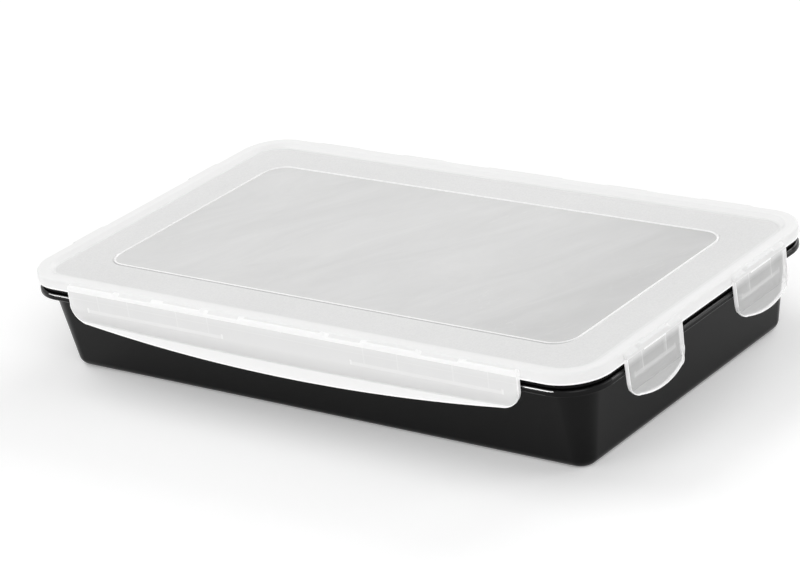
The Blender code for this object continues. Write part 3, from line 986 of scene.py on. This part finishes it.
def flap_levels(crease, low):
    """Depths below the hinge at which a flap's surface has points, closest at the fold and the edge."""
    wanted = [HINGE_GAP, TOP_LEVEL]
    wanted += [crease * k / 8 for k in range(1, 8)]
    wanted += [crease - OVER_FOLD, crease - FOLD_ROUND, crease - FOLD_ROUND / 2, crease]
    wanted += [crease + FOLD_ROUND / 2, crease + FOLD_ROUND]
    wanted += [(crease + low) / 2, low - LIP_LEVELS[0], low - LIP_LEVELS[1], low]
    levels = []
    for k, depth in enumerate(wanted):
        depth = min(depth, low - LEVEL_SPARE * (len(wanted) - 1 - k))
        if levels:
            depth = max(depth, levels[-1] + LEVEL_SPARE / 2)
        levels.append(depth)
    return levels


def flare_at(depth, crease):
    beyond = depth - crease
    if beyond <= -FOLD_ROUND:
        return 0.0
    if beyond < FOLD_ROUND:
        return LIP_FLARE * (beyond + FOLD_ROUND) ** 2 / (4 * FOLD_ROUND)
    return LIP_FLARE * beyond


def flap_mesh(name, shape, finish):
    half = shape["half"]
    bm = bmesh.new()
    drop_share = bm.verts.layers.float.new("drop_share")
    rim = bm.verts.layers.float.new("rim")
    along_flap = bm.verts.layers.float.new("along_flap")
    down_flap = bm.verts.layers.float.new("down_flap")
    outer_rows = []
    inner_rows = []
    for x in flap_stations(shape):
        low = lower_edge(shape, x)
        crease = min(shape["fold"] - shape["fold_sag"] * (x / half) ** 2, low - LIP_LEAST)
        end = abs(x) >= half - FLAP_END_WIDTH - TINY
        outer = []
        inner = []
        for depth in flap_levels(crease, low):
            taper = 1 - FLAP_TAPER / half * depth / shape["drop"]
            flare = flare_at(depth, crease)
            wall = FLAP_END_DEPTH if end and depth <= crease else FLAP_SHEET
            near_edge = min(low - depth, half - abs(x))
            for row, y in ((outer, -flare), (inner, wall - flare)):
                vert = bm.verts.new((x * taper, y, -depth))
                vert[drop_share] = depth / crease
                vert[along_flap] = x
                vert[down_flap] = depth
                vert[rim] = min(1.0, max(0.0, 1 - (near_edge - EDGE_WHITE) / EDGE_FADE))
                row.append(vert)
        outer_rows.append(outer)
        inner_rows.append(inner)
    last = len(outer_rows[0]) - 1
    for k in range(len(outer_rows) - 1):
        out_a, out_b = outer_rows[k], outer_rows[k + 1]
        in_a, in_b = inner_rows[k], inner_rows[k + 1]
        for r in range(last):
            bm.faces.new((out_a[r], out_a[r + 1], out_b[r + 1], out_b[r]))
            bm.faces.new((in_a[r], in_b[r], in_b[r + 1], in_a[r + 1]))
        bm.faces.new((out_a[0], out_b[0], in_b[0], in_a[0]))
        bm.faces.new((out_a[last], in_a[last], in_b[last], out_b[last]))
    for k in (0, -1):
        for r in range(last):
            bm.faces.new((outer_rows[k][r], outer_rows[k][r + 1], inner_rows[k][r + 1], inner_rows[k][r]))
    mesh = store(bm, bpy.data.meshes.new(name))
    mesh.materials.append(finish)
    return mesh


def times(material, one, other):
    return maths(material, "MULTIPLY", one, other)


def within(material, value, middle, half, soft=MARK_FADE):
    """One where a number is within half of a middle value, falling softly to nothing outside."""
    away = maths(material, "ABSOLUTE", maths(material, "SUBTRACT", value, middle))
    return ramp(material, away, half - soft, half + soft, 1.0, 0.0, True)


def strips(material, bar_middle, bar_length, ribs, bar_share, hook_share, rib_share, aside, above):
    """How much paler the sheet is over the bar, the bar's hooks and the ribs, and along a painted highlight
    where the tray's edge shows through, mirrored.
    """
    along = maths(material, "ABSOLUTE", maths(material, "SUBTRACT", reading(material, "along_flap"), aside))
    down = maths(material, "ADD", reading(material, "down_flap"), above)
    bar = times(material, within(material, along, bar_middle, bar_length / 2),
                within(material, down, bar_depth, BAR_HEIGHT / 2))
    total = times(material, bar, bar_share)
    hook_place = (bar_length - HOOK_WIDTH) / 2
    hook_down = within(material, down, bar_depth - HOOK_RISE / 2, (BAR_HEIGHT + HOOK_RISE) / 2)
    rib_down = within(material, down, bar_depth / 2, bar_depth / 2)
    marks = [(bar_middle + end * hook_place, HOOK_WIDTH, hook_down, hook_share) for end in (-1, 1)]
    marks += [(bar_middle + rib, RIB_WIDTH, rib_down, rib_share) for rib in ribs]
    # A painted highlight: the tray's edge seen through the sheet.
    marks += [(0.0, 2.0, within(material, down, above + TRAY_GLINT_DOWN, TRAY_GLINT_HALF), TRAY_GLINT_SHARE)]
    for middle, width, tall, share in marks:
        if middle >= 0:
            mark = times(material, times(material, within(material, along, middle, width / 2), tall), share)
            total = maths(material, "MAXIMUM", total, mark)
    return total


def white_edge(material, glint):
    """One at a flap's free edges, and along the middle of its film hinge, where it is a painted highlight.
    """
    line = times(material, within(material, reading(material, "along_flap"), 0.0, glint),
                 within(material, reading(material, "down_flap"), 0.0, GLINT_HALF))
    return maths(material, "MAXIMUM", reading(material, "rim"), line)


def flap_plastic(name, base, lit_at_hinge, upper, shaded_above_fold, lip, crease_shade, glint, bar):
    """Clip plastic: whiter near the hinge, painted light; clearest just above the fold, where dark shows
    through and painted shade deepens it, with a painted dark line in the fold; white along its edges, with a
    painted glow.
    """

    def see(material, place):
        drop = reading(material, "drop_share")
        body = ramp(material, drop, 0.58, 0.99, upper, shaded_above_fold)
        body = maths(material, "ADD", body, ramp(material, drop, 0.0, 0.26, lit_at_hinge - upper, 0.0, True))
        body = maths(material, "ADD", body, strips(material, **bar))
        # A dark line along the fold: painted shade in the crease.
        crease = times(material, within(material, drop, 1.0, CREASE_SHADE_HALF, CREASE_SHADE_FADE), crease_shade)
        body = maths(material, "SUBTRACT", body, crease)
        folded = ramp(material, drop, 1.0, 1.03, 0.0, 1.0)
        with_lip = add_node(material, "Mix", {0: folded, 2: body, 3: lip}).outputs[0]
        return add_node(material, "Mix", {0: white_edge(material, glint), 2: with_lip, 3: 1.0}).outputs[0]

    made = plastic(name, base, 0.30, see, grain=0.02)
    edge = white_edge(made, glint)
    body_tone = shader_of(made).inputs["Base Color"].links[0].from_socket
    feed(made, "Base Color", mix_colours(made, edge, body_tone, grey(0.99)))
    paint_glow(made, times(made, edge, EDGE_LIGHT))
    return made


long_plastic = flap_plastic(
    "long_flap_plastic", (0.96, 0.96, 0.957), lit_at_hinge=0.86, upper=0.82, shaded_above_fold=0.60, lip=0.90,
    crease_shade=0.06, glint=0.0001, bar={
        "bar_middle": LONG_BAR_PITCH / 2, "bar_length": LONG_BAR, "ribs": LONG_RIBS,
        "bar_share": 0.085, "hook_share": 0.16, "rib_share": 0.05, "aside": 0.0018, "above": 0.0017})
# The short clips' plastic is clearer and so darker than the long clips': painted shade, on top of the dark
# tray behind.
shaded_short_plastic = flap_plastic(
    "shaded_short_flap_plastic", (0.95, 0.95, 0.947), lit_at_hinge=0.76, upper=0.40, shaded_above_fold=0.385, lip=0.385,
    crease_shade=0.10, glint=0.0104, bar={
        "bar_middle": 0.0, "bar_length": SHORT_BAR, "ribs": SHORT_RIBS,
        "bar_share": 0.045, "hook_share": 0.05, "rib_share": 0.09, "aside": -0.0016, "above": 0.0017})
for name, (place, long_side) in FLAPS.items():
    shape = LONG_SHAPE if long_side else SHORT_SHAPE
    finish = long_plastic if long_side else shaded_short_plastic
    clip = new_piece(name + "_clip", flap_mesh(name + "_clip", shape, finish))
    soften(clip, CLIP_ROUND, steps=3, angle=50.0)
    clip.data.transform(place)
    smooth(clip.data, 40.0)
    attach(clip, name)
    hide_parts(name)


# The latch bars
# A bar inside each flap, moulded in one with it, catches the tray's bead. Its ends have hooks, and thin
# ribs brace it from above.
BAR_TIP_GAP = 0.0003
RIB_TOP_GAP = 0.0006
COMB_ROOT = 0.0009
COMB_ROUND = 0.00045
rib_top = skirt_z - RIB_TOP_GAP - hinge_z


def comb_tree():
    """Geometry nodes that set a rib on each given point and lay a bar with two hooks below them."""
    sizes = ("Rib Size", "Rib Centre", "Bar Size", "Bar Centre", "Hook Size", "Hook Start", "Hook Step")
    inputs = {"Rib Places": "Geometry", **dict.fromkeys(sizes, "Vector"), "Finish": "Material"}
    tree, given = start_tree("ribs_on_a_bar", inputs)
    rib = grow(tree, "MeshCube", {"Size": given["Rib Size"]})
    rib = grow(tree, "Transform", {"Geometry": rib, "Translation": given["Rib Centre"]})
    ribs = grow(tree, "InstanceOnPoints", {"Points": given["Rib Places"], "Instance": rib})
    bar = grow(tree, "MeshCube", {"Size": given["Bar Size"]})
    bar = grow(tree, "Transform", {"Geometry": bar, "Translation": given["Bar Centre"]})
    ends = grow(tree, "MeshLine", {
        "Count": 2, "Start Location": given["Hook Start"], "Offset": given["Hook Step"],
    })
    hook = grow(tree, "MeshCube", {"Size": given["Hook Size"]})
    hooks = grow(tree, "InstanceOnPoints", {"Points": ends, "Instance": hook})
    return end_tree(tree, given, grow(tree, "JoinGeometry", {0: [ribs, bar, hooks]}))


def comb_see(material, place):
    return 0.35


comb_nodes = comb_tree()
comb_plastic = plastic("comb_plastic", (0.97, 0.97, 0.967), 0.30, comb_see)


def build_comb(name, middle, length, ribs):
    mesh = bpy.data.meshes.new(name)
    mesh.from_pydata([(middle + x, 0.0, 0.0) for x in ribs], [], [])
    comb = new_piece(name, mesh)
    deep = FLAP_PROUD + RIM_INSET - BAR_TIP_GAP - COMB_ROOT
    centre = COMB_ROOT + deep / 2
    hook_z = bar_top - (BAR_HEIGHT - HOOK_RISE) / 2
    bake(comb, comb_nodes, {
        "Rib Size": (RIB_WIDTH, deep, rib_top - bar_top),
        "Rib Centre": (0.0, centre, (rib_top + bar_top) / 2),
        "Bar Size": (length, deep, BAR_HEIGHT),
        "Bar Centre": (middle, centre, bar_top - BAR_HEIGHT / 2),
        "Hook Size": (HOOK_WIDTH, deep, BAR_HEIGHT + HOOK_RISE),
        "Hook Start": (middle - (length - HOOK_WIDTH) / 2, centre, hook_z),
        "Hook Step": (length - HOOK_WIDTH, 0.0, 0.0),
        "Finish": comb_plastic,
    })
    soften(comb, COMB_ROUND, steps=3)
    return comb


BAR_NAMES = {-1: "_left_bar", 0: "_bar", 1: "_right_bar"}
for name, (place, long_side) in FLAPS.items():
    for side in (-1, 1) if long_side else (0,):
        length = LONG_BAR if long_side else SHORT_BAR
        ribs = [side * x for x in LONG_RIBS] if long_side else SHORT_RIBS
        comb = build_comb(name + BAR_NAMES[side], side * LONG_BAR_PITCH / 2, length, ribs)
        comb.data.transform(place)
        smooth(comb.data, 40.0)
        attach(comb, name)


# The film hinges
# The web between each land and its flap is thinned to a film, just behind the outer face.
FILM_THICKNESS = 0.0004
FILM_DEPTH = 0.0001
FILM_BITE = 0.0003
FILM_END = 0.0001
FILM_STEPS = 10
film_tall = HINGE_GAP + FILM_BITE
for name, (place, long_side) in FLAPS.items():
    half = (long_half if long_side else short_half) - FILM_END
    bm = bmesh.new()
    rows = []
    for k in range(FILM_STEPS + 1):
        z = film_tall - 2 * film_tall * k / FILM_STEPS
        back = FILM_DEPTH + FILM_THICKNESS
        corners = ((-half, FILM_DEPTH), (half, FILM_DEPTH), (half, back), (-half, back))
        rows.append([bm.verts.new((x, y, z)) for x, y in corners])
    for upper, lower in zip(rows[:-1], rows[1:]):
        for k in range(4):
            after = (k + 1) % 4
            bm.faces.new((upper[k], lower[k], lower[after], upper[after]))
    bm.faces.new(rows[0])
    bm.faces.new(list(reversed(rows[-1])))
    film_name = name.replace("_flap", "_film")
    film = new_piece(film_name, store(bm, bpy.data.meshes.new(film_name)))
    film.data.materials.append(glowing_land_plastic)
    film.data.transform(place)
    smooth(film.data)
    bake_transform(film)
